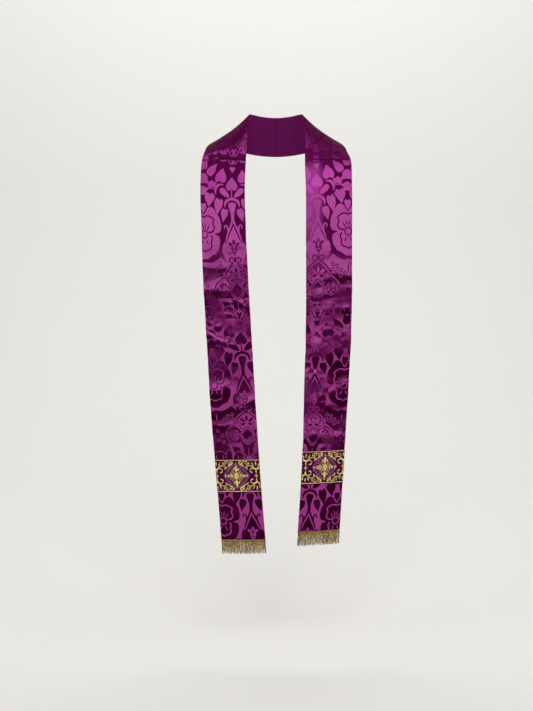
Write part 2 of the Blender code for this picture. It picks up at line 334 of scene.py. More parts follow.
# The cloth is also pulled out of true down its length: places and centimetres
PULL_PLACES = (-0.04, 0.10, 0.16, 0.27, 0.36, 0.42, 0.52)
PULLS = {"right": (0.0, 0.0, 0.0, 1.0, 1.9, 1.0, 0.0), "left": (-1.3, -1.0, -0.6, 0.2, 1.5, 0.4, 0.0)}
ROSE_AXIS = 8.4
# The length in metres after which the figures come again down the cloth
REPEAT = 0.4185
OUTLINE_STEP = 0.16
# How far along a leaf its edge has points, and how wide it is there
LEAF_EDGE = ((0.0, 0.40), (0.06, 0.80), (0.27, 1.0), (0.52, 0.86), (0.78, 0.42))
GROUND, FIGURE, BACK = 0, 1, 2
figures = []


def smooth_run(a, b, c, d, step):
    """Points on the smooth curve through four points, from the second up to the third."""
    count = max(2, int(round(np.linalg.norm(c[:2] - b[:2]) / step)))
    return [0.5 * (2 * b + (c - a) * t + (2 * a - 5 * b + 4 * c - d) * t * t
                   + (3 * b - a - 3 * c + d) * t ** 3) for t in np.arange(count) / count]


def blob(weave, *points):
    """A shape with a smooth closed outline through the points."""
    pts = np.array(points, float)
    outline = []
    for k in range(len(pts)):
        outline += smooth_run(pts[k - 1], pts[k], pts[(k + 1) % len(pts)], pts[(k + 2) % len(pts)],
                              OUTLINE_STEP)
    figures.append((weave, np.array(outline)))


def centred(weave, *half, axis=0.0):
    """A shape that is alike on both sides of the axis: only its right half is given, top down."""
    right = [(axis + x, v) for x, v in half]
    left = [(axis - x, v) for x, v in reversed(half) if x > 0.01]
    blob(weave, *right, *left)


def ribbon(weave, points, widths, step=OUTLINE_STEP):
    """A smooth band through the points, as wide at each as its width says."""
    pts = np.array([[*p, w] for p, w in zip(points, np.broadcast_to(widths, len(points)))], float)
    pts = np.vstack([2 * pts[0] - pts[1], pts, 2 * pts[-1] - pts[-2]])
    line = []
    for k in range(1, len(pts) - 2):
        line += smooth_run(*pts[k - 1:k + 3], step)
    line = np.array(line + [pts[-2]])
    way = unit(np.gradient(line[:, :2], axis=0))
    beside = np.stack([-way[:, 1], way[:, 0]], axis=1) * np.abs(line[:, 2:3]) / 2
    figures.append((weave, np.vstack([line[:, :2] + beside, (line[:, :2] - beside)[::-1]])))


def turns_of(length):
    """The turns at which a round outline of this length has its points."""
    count = max(8, int(length / OUTLINE_STEP))
    return np.arange(count) / count * 2 * math.pi


def disc(weave, x, v, radius, lobes=0, depth=0.0):
    turn = turns_of(2 * math.pi * radius)
    reach = radius * (1 + depth * np.cos(lobes * turn))
    figures.append((weave, np.stack([x + reach * np.sin(turn), v - reach * np.cos(turn)], axis=1)))


def oval(weave, x, v, length, width, turn_deg=0.0):
    """A long round shape, turned from upright towards the outer edge."""
    turn = turns_of(1.6 * (length + width))
    along, beside = np.cos(turn) * length / 2, np.sin(turn) * width / 2
    lean = math.radians(turn_deg)
    figures.append((weave, np.stack([x + along * math.sin(lean) + beside * math.cos(lean),
                                     v - along * math.cos(lean) + beside * math.sin(lean)], axis=1)))


def leaf(weave, base, tip, width, notch=0.10):
    """A heart-shaped leaf from its notched base to its tip."""
    base, tip = np.array(base, float), np.array(tip, float)
    along = tip - base
    beside = unit(np.array([-along[1], along[0]])) * width / 2
    points = [base + along * notch]
    points += [base + along * t + beside * w for t, w in LEAF_EDGE] + [tip]
    points += [base + along * t - beside * w for t, w in reversed(LEAF_EDGE)]
    blob(weave, *points)


def flower(weave, x, v, size=0.42):
    for k in range(5):
        turn = math.radians(72 * k)
        disc(weave, x + size * math.sin(turn), v - size * math.cos(turn), size * 0.5)


# Leaves over the arch
leaf(FIGURE, (0, -1.9), (0, -5.7), 3.2)
ribbon(FIGURE, [(0, -2.2), (0, -1.0), (0, 0.1)], 0.28)
leaf(FIGURE, (3.4, -4.2), (2.65, -8.2), 3.2)
leaf(FIGURE, (6.9, -6.2), (4.5, -9.5), 2.3, 0.0)
leaf(FIGURE, (8.7, -7.9), (7.6, -10.6), 2.1, 0.0)
for x, v, radius, depth in ((5.75, -3.5, 1.15, 0.05), (7.2, -4.4, 0.5, 0.06), (7.05, -2.5, 0.42, 0.06),
                            (8.5, -5.3, 1.3, 0.05), (8.4, -2.1, 1.25, 0.05)):
    disc(FIGURE, x, v, radius, 5, depth)
ribbon(FIGURE, [(4.5, -0.9), (4.6, -2.3), (3.7, -3.5), (2.3, -3.5)], [0.2, 0.75, 0.75, 0.15])
blob(GROUND, (0.3, 0.15), (0.7, -1.3), (1.9, -2.9), (3.2, -3.0), (3.9, -1.9), (3.2, -0.6), (1.8, 0.1))
blob(FIGURE, (0.65, -0.2), (1.1, -1.3), (2.1, -2.5), (3.0, -2.6), (3.4, -1.8), (2.8, -0.9), (1.6, -0.1))
ribbon(FIGURE, [(4.3, -4.6), (4.6, -4.1), (4.3, -3.8)], [0.12, 0.3, 0.12])
ribbon(GROUND, [(5.0, -2.6), (5.5, -2.9), (5.9, -2.5)], [0.1, 0.26, 0.1])
ribbon(FIGURE, [(4.7, -0.4), (5.0, 0.1), (5.3, -0.3)], [0.12, 0.28, 0.12])
# Pendant leaves
leaf(FIGURE, (6.2, -1.4), (6.8, 2.3), 2.85)
leaf(FIGURE, (3.5, 0.2), (4.5, 4.6), 2.4)
leaf(FIGURE, (2.0, 3.1), (2.85, 6.5), 2.0, 0.03)
# Rose: two outer petals, two inner ones drawn by a dark line, and its round heart
blob(FIGURE, (8.4, 4.3), (7.9, 3.9), (7.3, 2.9), (6.5, 2.45), (5.7, 2.6), (5.1, 3.3), (4.6, 4.3),
     (3.8, 5.4), (3.45, 6.9), (3.5, 8.2), (4.0, 9.0), (4.9, 9.25), (5.9, 9.5), (8.4, 9.6))
blob(FIGURE, (8.4, 9.3), (5.9, 9.4), (5.0, 9.65), (4.3, 9.95), (3.9, 10.7), (3.95, 11.9), (4.4, 13.1),
     (5.1, 14.1), (6.4, 14.7), (8.4, 15.3))
ribbon(GROUND, [(8.4, 5.25), (7.9, 4.85), (6.9, 4.9), (6.1, 5.3), (5.35, 5.8)], [0.38, 0.38, 0.38, 0.38, 0.3])
ribbon(GROUND, [(5.4, 5.75), (5.8, 6.8), (5.45, 7.8), (5.85, 8.6), (6.6, 8.95), (7.3, 8.85)], 0.40)
ribbon(GROUND, [(6.55, 9.7), (6.15, 10.5), (6.45, 11.5), (6.35, 12.4), (6.95, 13.15), (7.7, 13.3),
                (8.4, 13.75)], 0.40)
ribbon(GROUND, [(7.55, 8.5), (7.3, 7.8), (6.8, 7.2)], [0.1, 0.36, 0.08])
ribbon(GROUND, [(8.1, 8.2), (8.05, 7.3), (7.75, 6.5)], [0.1, 0.3, 0.08])
ribbon(GROUND, [(7.9, 10.7), (7.65, 11.4), (7.2, 12.0)], [0.1, 0.36, 0.08])
disc(GROUND, ROSE_AXIS, 9.4, 1.1)
disc(FIGURE, ROSE_AXIS, 9.4, 0.78)
centred(GROUND, (0, 0.9), (1.15, 1.2), (1.25, 2.4), (0.6, 3.7), (0, 4.4), axis=ROSE_AXIS)
centred(FIGURE, (0, 1.6), (0.5, 1.3), (0.9, 1.9), (0.75, 2.8), (0.3, 3.6), (0, 4.0), axis=ROSE_AXIS)
# Arch and stalk
ribbon(FIGURE, [(-0.4, 0.42), (0, 0.4), (0.75, 0.55), (1.3, 0.85), (1.85, 1.5), (2.1, 2.7)],
       [0.85, 0.85, 0.65, 0.85, 0.7, 0.2])
centred(FIGURE, (0, 1.4), (0.75, 1.5), (1.1, 2.05), (0.9, 3.0), (0.6, 4.0), (0.44, 5.2), (0.5, 6.2),
        (0.75, 7.1), (0, 7.5))
# Cloth round the roof and the pod: figure weave with the lines of the ground on it
blob(FIGURE, (-2.0, 15.4), (0, 15.6), (2.6, 15.4), (3.6, 14.9), (4.5, 15.4), (5.6, 16.1), (7.2, 16.5),
     (8.9, 16.7), (9.3, 22.0), (9.3, 27.0), (9.2, 29.8), (7.0, 30.0), (4.4, 29.8), (2.0, 30.0), (0, 29.4),
     (-2.0, 29.6), (-2.2, 21.0))
# Shield under the stalk
centred(FIGURE, (0, 7.0), (0.75, 8.2), (1.7, 9.8), (2.3, 11.0), (3.0, 12.1), (3.35, 13.3), (3.25, 14.4),
        (2.6, 15.3), (1.2, 15.9), (0, 16.2))
ribbon(GROUND, [(0.1, 6.25), (0.5, 7.25), (1.3, 8.9), (1.95, 10.4), (2.3, 11.8)],
       [0.9, 1.15, 1.15, 1.0, 0.4])
ribbon(FIGURE, [(0.1, 6.15), (0.55, 7.25), (1.35, 8.9), (1.95, 10.4), (2.25, 11.6)],
       [0.55, 0.55, 0.5, 0.4, 0.12])
ribbon(FIGURE, [(2.35, 8.3), (2.5, 7.75), (2.1, 7.35), (1.65, 7.7), (1.5, 8.4), (1.6, 9.1)],
       [0.2, 0.35, 0.4, 0.4, 0.45, 0.3])
oval(GROUND, 0, 11.55, 1.2, 0.9)
disc(FIGURE, 0, 11.45, 0.16)
oval(GROUND, 0.95, 12.1, 1.35, 0.75, 60)
oval(GROUND, 0.5, 12.8, 0.95, 0.6, 145)
centred(GROUND, (0, 13.15), (0.5, 12.95), (0.85, 13.35), (0.6, 14.0), (0.25, 14.45), (0, 14.6))
centred(FIGURE, (0, 13.6), (0.24, 13.42), (0.34, 13.65), (0, 14.05))
ribbon(GROUND, [(0, 14.5), (0, 15.6), (0, 17.1)], [0.3, 0.3, 0.4])
ribbon(GROUND, [(0.05, 17.0), (0.2, 16.1), (0.5, 15.55), (1.0, 15.35), (1.55, 15.65), (1.55, 16.3),
                (1.1, 16.6), (0.75, 16.25), (1.05, 15.95)],
       [0.3, 0.32, 0.34, 0.36, 0.38, 0.34, 0.28, 0.24, 0.18])
ribbon(GROUND, [(2.3, 16.7), (3.1, 15.6), (4.2, 14.9)], [0.15, 0.32, 0.3])
# Pomegranate under its roof
ribbon(GROUND, [(-0.4, 16.7), (0, 16.85), (1.5, 17.8), (2.4, 18.7), (3.1, 19.7), (3.0, 20.8)],
       [1.15, 1.15, 1.15, 1.15, 1.1, 0.5])
ribbon(FIGURE, [(-0.4, 16.7), (0, 16.85), (1.5, 17.8), (2.4, 18.7), (3.05, 19.7), (2.95, 20.6)],
       [0.35, 0.35, 0.35, 0.35, 0.3, 0.15])
centred(GROUND, (0, 17.7), (1.3, 18.5), (2.3, 19.4), (2.7, 20.5), (2.3, 21.7), (1.7, 22.2), (1.2, 21.6),
        (0, 20.7))
oval(FIGURE, 0, 18.75, 1.6, 0.7)
oval(FIGURE, 1.12, 19.2, 1.6, 0.72, 52)
oval(FIGURE, 0.95, 20.3, 1.25, 0.62, 108)
for x, v, radius in ((1.85, 19.95, 0.24), (1.95, 20.8, 0.22), (1.75, 21.4, 0.22)):
    disc(FIGURE, x, v, radius)
# Seed pod with its double outline
centred(GROUND, (0, 20.7), (0.9, 21.5), (1.75, 22.4), (2.1, 23.3), (1.8, 24.4), (1.0, 25.5), (0, 26.2))
centred(FIGURE, (0, 21.0), (0.75, 21.7), (1.5, 22.55), (1.82, 23.3), (1.55, 24.25), (0.85, 25.25), (0, 25.85))
centred(GROUND, (0, 21.25), (0.7, 21.95), (1.35, 22.7), (1.62, 23.3), (1.4, 24.15), (0.75, 25.05), (0, 25.6))
centred(FIGURE, (0, 21.7), (0.6, 22.25), (1.15, 22.85), (1.36, 23.35), (1.18, 24.05), (0.6, 24.8), (0, 25.25))
# Medallion beside the pod, under a pointed line
ribbon(GROUND, [(2.6, 21.3), (3.5, 20.6), (4.6, 21.3), (5.6, 22.2), (5.7, 23.6), (5.1, 25.1)],
       [0.3, 0.95, 0.95, 0.95, 0.8, 0.3])
ribbon(FIGURE, [(2.7, 21.3), (3.5, 20.7), (4.6, 21.4), (5.5, 22.3), (5.6, 23.6), (5.0, 25.0)],
       [0.1, 0.32, 0.32, 0.32, 0.3, 0.1])
blob(GROUND, (3.5, 21.6), (4.6, 22.1), (5.0, 23.2), (4.6, 24.5), (3.7, 25.1), (2.8, 24.6), (2.3, 23.4),
     (2.6, 22.2))
for x, v, turn in ((3.55, 22.5, 0), (4.25, 22.9, 60), (4.25, 23.7, 120), (3.6, 24.2, 175),
                   (2.95, 23.6, 240), (3.0, 22.8, 310)):
    oval(FIGURE, x, v, 0.85, 0.42, turn)
blob(GROUND, (2.0, 25.6), (3.6, 25.5), (5.4, 25.4), (5.0, 26.2), (3.4, 26.6), (1.6, 26.9))
for x, v in ((4.0, 17.5), (5.2, 18.0), (3.9, 18.8), (5.1, 19.3), (6.3, 18.9), (6.2, 20.2), (7.4, 19.7),
             (7.2, 23.4), (6.9, 25.2), (8.4, 24.6), (8.4, 22.0)):
    flower(GROUND, x, v)
ribbon(GROUND, [(8.4, 17.4), (8.4, 18.6), (8.4, 19.8)], [0.1, 0.35, 0.1])
# Buds and the fan of petals
ribbon(GROUND, [(5.4, 25.6), (4.9, 26.8), (4.5, 28.2), (4.4, 30.2)], [1.3, 0.85, 0.8, 0.5])
oval(GROUND, 1.85, 27.3, 1.7, 1.15, 14)
oval(FIGURE, 1.9, 27.1, 0.5, 0.22, 14)
ribbon(GROUND, [(1.7, 27.9), (1.3, 28.6), (0.6, 29.3), (0, 29.7)], [0.4, 0.26, 0.26, 0.4])
ribbon(GROUND, [(0, 26.8), (0, 28.0), (0, 29.6)], [0.14, 0.24, 0.3])
for petal in (
    ((6.4, 29.6), (7.0, 28.4), (8.4, 28.0), (9.4, 28.8), (9.4, 30.2), (8.4, 31.2), (7.0, 31.0)),
    ((4.8, 29.2), (5.0, 28.0), (5.8, 27.6), (6.5, 28.6), (6.4, 30.2), (5.6, 31.3), (4.8, 30.6)),
    ((1.3, 30.0), (1.7, 28.7), (2.9, 28.1), (4.0, 28.8), (4.4, 30.3), (3.3, 31.5), (1.9, 31.3)),
):
    middle = np.mean(petal, axis=0)
    blob(GROUND, *(middle + (np.array(petal) - middle) * 1.14))
    blob(FIGURE, *petal)
ribbon(GROUND, [(2.2, 29.5), (1.5, 29.6), (1.2, 30.2), (1.6, 30.9), (2.2, 30.7), (2.1, 30.2)],
       [0.15, 0.3, 0.35, 0.35, 0.3, 0.12])
ribbon(GROUND, [(3.4, 28.9), (3.0, 29.8), (3.1, 30.8)], [0.12, 0.28, 0.12])
ribbon(GROUND, [(7.6, 28.8), (7.4, 29.6), (7.7, 30.5)], [0.12, 0.28, 0.12])
# Stem ornament
centred(FIGURE, (0, 30.4), (0.45, 30.1), (0.8, 30.6), (0.45, 31.2), (0.22, 32.0), (0, 32.3))
oval(FIGURE, 0.75, 31.9, 1.3, 0.36, 45)
oval(FIGURE, 1.3, 31.0, 0.9, 0.4, 20)
centred(FIGURE, (0, 33.2), (0.55, 33.0), (0.75, 33.5), (0.4, 34.2), (0, 34.7))


def damask_outlines(side, start, end, tops):
    """The figures that cross a stretch of cloth, each with its weave, in centimetres across and down."""
    found = []
    for top in tops:
        for weave, points in figures:
            for flip, shift in ((1, 0.0), (-1, 0.0), (-1, 2 * ROSE_AXIS)):
                down = points[:, 1] + top * CM
                down = down + np.interp(down / CM, PULL_PLACES, PULLS[side])
                axis = np.interp(down / CM, STALK_PLACES, STALK_SHARES[side]) * BAND_WIDTH * CM
                across = points[:, 0] * flip + shift + axis
                if (down.max() > start * CM and down.min() < end * CM
                        and across.max() > 0.0 and across.min() < BAND_WIDTH * CM):
                    found.append((weave, np.stack([across, down], axis=1)))
    return found


def inside(polygon, points):
    """Which points lie inside a closed polygon."""
    low, high = polygon.min(axis=0), polygon.max(axis=0)
    near = np.flatnonzero(((points > low) & (points < high)).all(axis=1))
    result = np.zeros(len(points), bool)
    if not len(near):
        return result
    x, y = points[near, 0], points[near, 1]
    odd = np.zeros(len(near), bool)
    for (ax, ay), (bx, by) in zip(polygon, np.roll(polygon, -1, axis=0)):
        if ay != by:
            crosses = (ay > y) != (by > y)
            odd ^= crosses & (x < ax + (y - ay) * (bx - ax) / (by - ay))
    result[near] = odd
    return result


# Heights of the back and the front of the cloth from its middle
CLOTH_HEIGHTS = (-CLOTH_THICKNESS / 2, CLOTH_THICKNESS / 2)
# In centimetres: the grid of the front, how clear of the outlines it stays, and the grid of the back
CLOTH_GRID = (0.45, 0.14)
BACK_GRID = 0.8
NEAR = 1e-5
# The part of the thickness that the flat of an edge takes up, between its rounded corners
EDGE_SHARE = 0.45


def grid_lines(low, high, grid):
    """The places across and down of the lines of a rectangle's grid."""
    counts = np.maximum(1, np.round((high - low) / grid)).astype(int)
    return [np.linspace(a, b, n + 1) for a, b, n in zip(low, high, counts)]


def loop_edges(first, count):
    return [(first + k, first + (k + 1) % count) for k in range(count)]


def triangles(points, edges):
    """The points and triangles of a flat cloth with these points and edges in it."""
    made = delaunay_2d_cdt([Vector(p) for p in points], edges, [], 0, 1e-6, False)
    return np.array([tuple(v) for v in made[0]]), np.array([f for f in made[2] if len(f) == 3])


def cut_front(low, high, outlines, grid, clear):
    """Divide a rectangle of cloth into triangles along the outlines. Returns points, triangles, weaves."""
    across, down = grid_lines(low, high, grid)
    points = [(x, low[1]) for x in across[:-1]] + [(high[0], y) for y in down[:-1]]
    points += [(x, high[1]) for x in across[:0:-1]] + [(low[0], y) for y in down[:0:-1]]
    edges = loop_edges(0, len(points))
    for _, outline in outlines:
        edges += loop_edges(len(points), len(outline))
        points += [tuple(p) for p in outline]
    tree = KDTree(len(points))
    for k, (x, y) in enumerate(points):
        tree.insert((x, y, 0.0), k)
    tree.balance()
    points += [(x, y) for x in across[1:-1] for y in down[1:-1] if tree.find((x, y, 0.0))[2] > clear]
    points, faces = triangles(points, edges)
    centres = points[faces].mean(axis=1)
    kept = ((centres > low) & (centres < high)).all(axis=1)
    faces, centres = faces[kept], centres[kept]
    used = np.unique(faces)
    renumber = np.zeros(len(points), int)
    renumber[used] = np.arange(len(used))
    weaves = np.zeros(len(faces), int)
    for weave, outline in outlines:
        weaves[inside(outline, centres)] = weave
    return np.clip(points[used], low, high), renumber[faces], weaves


def cut_back(rim, low, high):
    """The plain back of a shell: the points of its rim and a coarse grid."""
    across, down = grid_lines(low, high, BACK_GRID)
    points = [tuple(p) for p in rim] + [(x, y) for x in across[1:-1] for y in down[1:-1]]
    return triangles(points, loop_edges(0, len(rim)))


def rim_of(points, low, high):
    """The points on the rectangle's rim, in order round it."""
    found = []
    width, height = high - low
    for k, (x, y) in enumerate(points):
        if y - low[1] < NEAR:
            found.append((x - low[0], k))
        elif high[0] - x < NEAR:
            found.append((width + y - low[1], k))
        elif high[1] - y < NEAR:
            found.append((width + height + high[0] - x, k))
        elif x - low[0] < NEAR:
            found.append((2 * width + height + high[1] - y, k))
    return [k for _, k in sorted(found)]


def cloth_piece(name, points, faces, slots, flat, raised, materials):
    """A piece with its points' places on the flat cloth and how far each is raised."""
    data = bpy.data.meshes.new(name)
    data.from_pydata([tuple(p) for p in points], [], faces)
    data.polygons.foreach_set("material_index", np.array(slots, dtype=np.int32))
    uv = data.uv_layers.new(name="cloth")
    corner = np.zeros(len(data.loops), dtype=np.int32)
    data.loops.foreach_get("vertex_index", corner)
    uv.data.foreach_set("uv", np.array(flat, dtype=np.float32)[corner].ravel())
    attribute = data.attributes.new("raised", "FLOAT", "POINT")
    attribute.data.foreach_set("value", np.array(raised, dtype=np.float32))
    mesh = bmesh.new()
    mesh.from_mesh(data)
    bmesh.ops.recalc_face_normals(mesh, faces=mesh.faces)
    mesh.to_mesh(data)
    mesh.free()
    data.shade_smooth()
    for material in materials:
        data.materials.append(material)
    piece = bpy.data.objects.new(name, data)
    bpy.context.scene.collection.objects.link(piece)
    return piece


def no_lift(points, faces, weaves):
    return 0.0


def shell(name, hang, start, end, outlines, materials, slants=(0.0, 0.0), heights=CLOTH_HEIGHTS,
          grid=CLOTH_GRID, lift=no_lift):
    """A closed shell of cloth over the hang. Its front is cut along the outlines, its back is plain.

    The slants are how far the front of its start and of its end lies onward of its back.
    """
    whole_low, whole_high = np.array([0.0, start * CM]), np.array([BAND_WIDTH * CM, end * CM])
    low, high = whole_low + EDGE_ROUNDING * CM, whole_high - EDGE_ROUNDING * CM
    front, front_faces, weaves = cut_front(low, high, outlines, *grid)
    relief = np.zeros(len(front)) + lift(front, front_faces, weaves)
    rim = rim_of(front, low, high)
    outer = np.where(front[rim] <= low + NEAR, whole_low, front[rim])
    outer = np.where(outer >= high - NEAR, whole_high, outer)
    leaning = np.zeros_like(outer)
    leaning[:, 1] = CM / 2 * (slants[0] * (outer[:, 1] <= whole_low[1] + NEAR)
                              + slants[1] * (outer[:, 1] >= whole_high[1] - NEAR))
    back, back_faces = cut_back(front[rim], low, high)
    middle, half = (heights[1] + heights[0]) / 2, (heights[1] - heights[0]) / 2
    sheets = [
        (front, heights[1] + relief),
        (outer + leaning, np.full(len(outer), middle + half * EDGE_SHARE)),
        (outer - leaning, np.full(len(outer), middle - half * EDGE_SHARE)),
        (back, np.full(len(back), heights[0])),
    ]
    firsts = np.cumsum([0] + [len(points) for points, _ in sheets])
    plane = np.vstack([points for points, _ in sheets]) / CM
    height = np.concatenate([height for _, height in sheets])
    place = hang.point(plane[:, 1], plane[:, 0] / BAND_WIDTH, height)
    faces = [tuple(f) for f in front_faces] + [tuple(f[::-1] + firsts[3]) for f in back_faces]
    slots = list(weaves) + [BACK] * len(back_faces)
    rings = [rim, range(firsts[1], firsts[2]), range(firsts[2], firsts[3]),
             [k + firsts[3] for k in rim_of(back, low, high)]]
    for ring, onward in zip(rings, rings[1:]):
        for k in range(len(rim)):
            after = (k + 1) % len(rim)
            faces.append((ring[after], ring[k], onward[k], onward[after]))
            slots.append(GROUND if ring is rim else BACK)
    relief = np.pad(relief, (0, len(plane) - len(front)))
    return cloth_piece(name, place, faces, slots, plane, relief, materials)


def new_material(name):
    """A new material, its node tree and its shader."""
    material = bpy.data.materials.new(name)
    material.use_nodes = True
    return material, material.node_tree, material.node_tree.nodes["Principled BSDF"]


def put(tree, socket, value):
    """Give a socket a number, a colour or the output of another node."""
    if isinstance(value, bpy.types.NodeSocket):
        tree.links.new(value, socket)
    else:
        socket.default_value = (*value, 1.0) if isinstance(value, tuple) else value


def work_out(tree, operation, *values):
    """The sum, the product or the like of the values."""
    node = tree.nodes.new("ShaderNodeMath")
    node.operation = operation
    for socket, value in zip(node.inputs, values):
        put(tree, socket, value)
    return node.outputs["Value"]


def between(tree, value, low, high, first=0.0, last=1.0, kind="SMOOTHSTEP"):
    """A number that goes from first to last while the value goes from low to high."""
    node = tree.nodes.new("ShaderNodeMapRange")
    node.interpolation_type = kind
    given = {"Value": value, "From Min": low, "From Max": high, "To Min": first, "To Max": last}
    for socket, number in given.items():
        put(tree, node.inputs[socket], number)
    return node.outputs["Result"]


def ramp(tree, value, stops, kind="LINEAR"):
    """A colour, or a grey, that changes with the value from stop to stop."""
    node = tree.nodes.new("ShaderNodeValToRGB")
    node.color_ramp.interpolation = kind
    elements = node.color_ramp.elements
    stops = [(place, (*np.broadcast_to(colour, 3), 1.0)) for place, colour in stops]
    elements[0].position, elements[0].color = stops[0]
    elements[1].position, elements[1].color = stops[-1]
    for place, colour in stops[1:-1]:
        elements.new(place).color = colour
    tree.links.new(value, node.inputs["Fac"])
    return node.outputs["Color"]


def blend(tree, share, under, over):
    """One colour, with a share of another over it."""
    node = tree.nodes.new("ShaderNodeMix")
    node.data_type = "RGBA"
    for socket, value in {"Factor": share, "A": under, "B": over}.items():
        put(tree, node.inputs[socket], value)
    return node.outputs["Result"]


def part_of(tree, vector, axis):
    node = tree.nodes.new("ShaderNodeSeparateXYZ")
    tree.links.new(vector, node.inputs["Vector"])
    return node.outputs[axis]


def noise(tree, vector, scale, detail):
    node = tree.nodes.new("ShaderNodeTexNoise")
    node.inputs["Scale"].default_value = scale
    node.inputs["Detail"].default_value = detail
    tree.links.new(vector, node.inputs["Vector"])
    return node.outputs["Fac"]


def thread_noise(tree, flat, thread, detail):
    """Noise as fine across and along the cloth as its threads are."""
    node = tree.nodes.new("ShaderNodeMapping")
    node.inputs["Scale"].default_value = thread
    tree.links.new(flat, node.inputs["Vector"])
    return noise(tree, node.outputs["Vector"], 1.0, detail)


def flat_cloth(tree):
    """Each point's place on the flat cloth."""
    node = tree.nodes.new("ShaderNodeUVMap")
    node.uv_map = "cloth"
    return node.outputs["UV"]


def ridges(tree, shader, height, strength, distance):
    """The threads' fine ridges in the surface."""
    node = tree.nodes.new("ShaderNodeBump")
    node.inputs["Strength"].default_value = strength
    node.inputs["Distance"].default_value = distance
    tree.links.new(height, node.inputs["Height"])
    tree.links.new(node.outputs["Normal"], shader.inputs["Normal"])


# How much light falls on the cloth at places down it, counted from 0.3 m above the chest seam
LIGHT_SHIFT = 0.3
LIGHT_STOPS = ((0.24, 0.42), (0.272, 0.30), (0.305, 0.33), (0.34, 0.40), (0.56, 0.41), (0.64, 0.25))
# How much the cloth's slope and its unevenness add to that, and what brings a slope above nought
SLOPE_WEIGHT, UNEVEN_WEIGHT = 0.8, 0.10
SLOPE_SHIFT = 0.3
# How fine and how detailed each noise is
UNEVEN_NOISE, PATCH_NOISE, GRAIN_NOISE = (38.0, 3.0), (15.0, 2.0), (480.0, 3.0)
# The painted shade patches, where the figures hardly show: how strong they are down the cloth, and
# their colour, between those of the weaves
PATCH_STOPS = ((0.20, 0.0), (0.34, 1.0), (0.78, 1.0), (0.84, 0.0))
PATCH_RANGE = (0.44, 0.66, 0.0, 0.76)
PATCH_COLOUR = (0.15, 0.010, 0.095)
# The painted glare, a cloudy highlight: its colour, and where it fades in across and down
GLARE_COLOUR = (0.42, 0.055, 0.33)
GLARE_ACROSS = ((0.136, 0.108), (0.02, 0.05))
GLARE_DOWN = ((0.27, 0.17), (-0.01, 0.04))
# The threads' grain from dull to bright, and the painted shade along the chest seam: its half
# width and its tone
GRAIN_RANGE = (0.08, 0.42, 0.60, 1.40)
SEAM_SHADE_WIDTH, SEAM_SHADE_TONE = 0.0028, 0.25


def satin(name, slopes, thread, roughness=0.48, anisotropic=0.80, turn=0.0, ridge=0.25, metallic=0.45,
          glare_share=0.0):
    """A woven satin whose threads run along one way of the cloth, so its gloss spreads across them.

    The threads catch the light by the slope they lie on, and this light and shade is painted into
    its colour: slopes gives the painted colour for how far the cloth faces up, from -0.3 to 0.7, and
    nought is cloth that hangs straight down. Painted light down the cloth, painted shade patches, a
    painted glare and a painted shade at the chest seam are laid over it.
    """
    material, tree, shader = new_material(name)
    shader.inputs["Metallic"].default_value = metallic
    shader.inputs["Roughness"].default_value = roughness
    shader.inputs["Specular IOR Level"].default_value = 0.05
    shader.inputs["Specular Tint"].default_value = (0.35, 0.06, 0.25, 1.0)
    shader.inputs["Anisotropic"].default_value = anisotropic
    shader.inputs["Anisotropic Rotation"].default_value = turn
    tangent = tree.nodes.new("ShaderNodeTangent")
    tangent.direction_type = "UV_MAP"
    tangent.uv_map = "cloth"
    tree.links.new(tangent.outputs["Tangent"], shader.inputs["Tangent"])
    flat = flat_cloth(tree)
    down = part_of(tree, flat, "Y")
    solid = tree.nodes.new("ShaderNodeTexCoord")
    slub = thread_noise(tree, flat, thread, 2.0)
    light = ramp(tree, work_out(tree, "ADD", down, LIGHT_SHIFT), LIGHT_STOPS)
    light = work_out(tree, "MULTIPLY_ADD", noise(tree, flat, *UNEVEN_NOISE), UNEVEN_WEIGHT, light)
    facing_up = part_of(tree, solid.outputs["Normal"], "Z")
    slope = work_out(tree, "MULTIPLY_ADD", facing_up, SLOPE_WEIGHT, light)
    colour = ramp(tree, slope, [(rise + SLOPE_SHIFT, shade) for rise, shade in slopes], "EASE")
    # Painted shade: soft patches where the figures hardly show, from the chest down
    patch = between(tree, noise(tree, solid.outputs["Object"], *PATCH_NOISE), *PATCH_RANGE)
    patch = work_out(tree, "MULTIPLY", ramp(tree, down, PATCH_STOPS), patch)
    colour = blend(tree, patch, colour, PATCH_COLOUR)
    # A painted glare, a cloudy highlight, lies over the inner edge of the wearer's left band, high up
    glare = glare_share
    across = part_of(tree, solid.outputs["Object"], "X")
    for way, fades in ((across, GLARE_ACROSS), (down, GLARE_DOWN)):
        for nought, full in fades:
            glare = work_out(tree, "MULTIPLY", glare, between(tree, way, nought, full))
    colour = blend(tree, glare, colour, GLARE_COLOUR)
    # The threads' grain, and a painted shade along the shallow ditch in which the chest seam lies
    grain = work_out(tree, "MULTIPLY", slub, noise(tree, flat, *GRAIN_NOISE))
    grain = between(tree, grain, *GRAIN_RANGE, kind="LINEAR")
    seam_shade = between(tree, work_out(tree, "ABSOLUTE", down), 0.0, SEAM_SHADE_WIDTH, SEAM_SHADE_TONE)
    tone = tree.nodes.new("ShaderNodeVectorMath")
    tone.operation = "SCALE"
    tree.links.new(colour, tone.inputs["Vector"])
    tree.links.new(work_out(tree, "MULTIPLY", grain, seam_shade), tone.inputs["Scale"])
    tree.links.new(tone.outputs["Vector"], shader.inputs["Base Color"])
    ridges(tree, shader, slub, ridge, 0.0002)
    return material
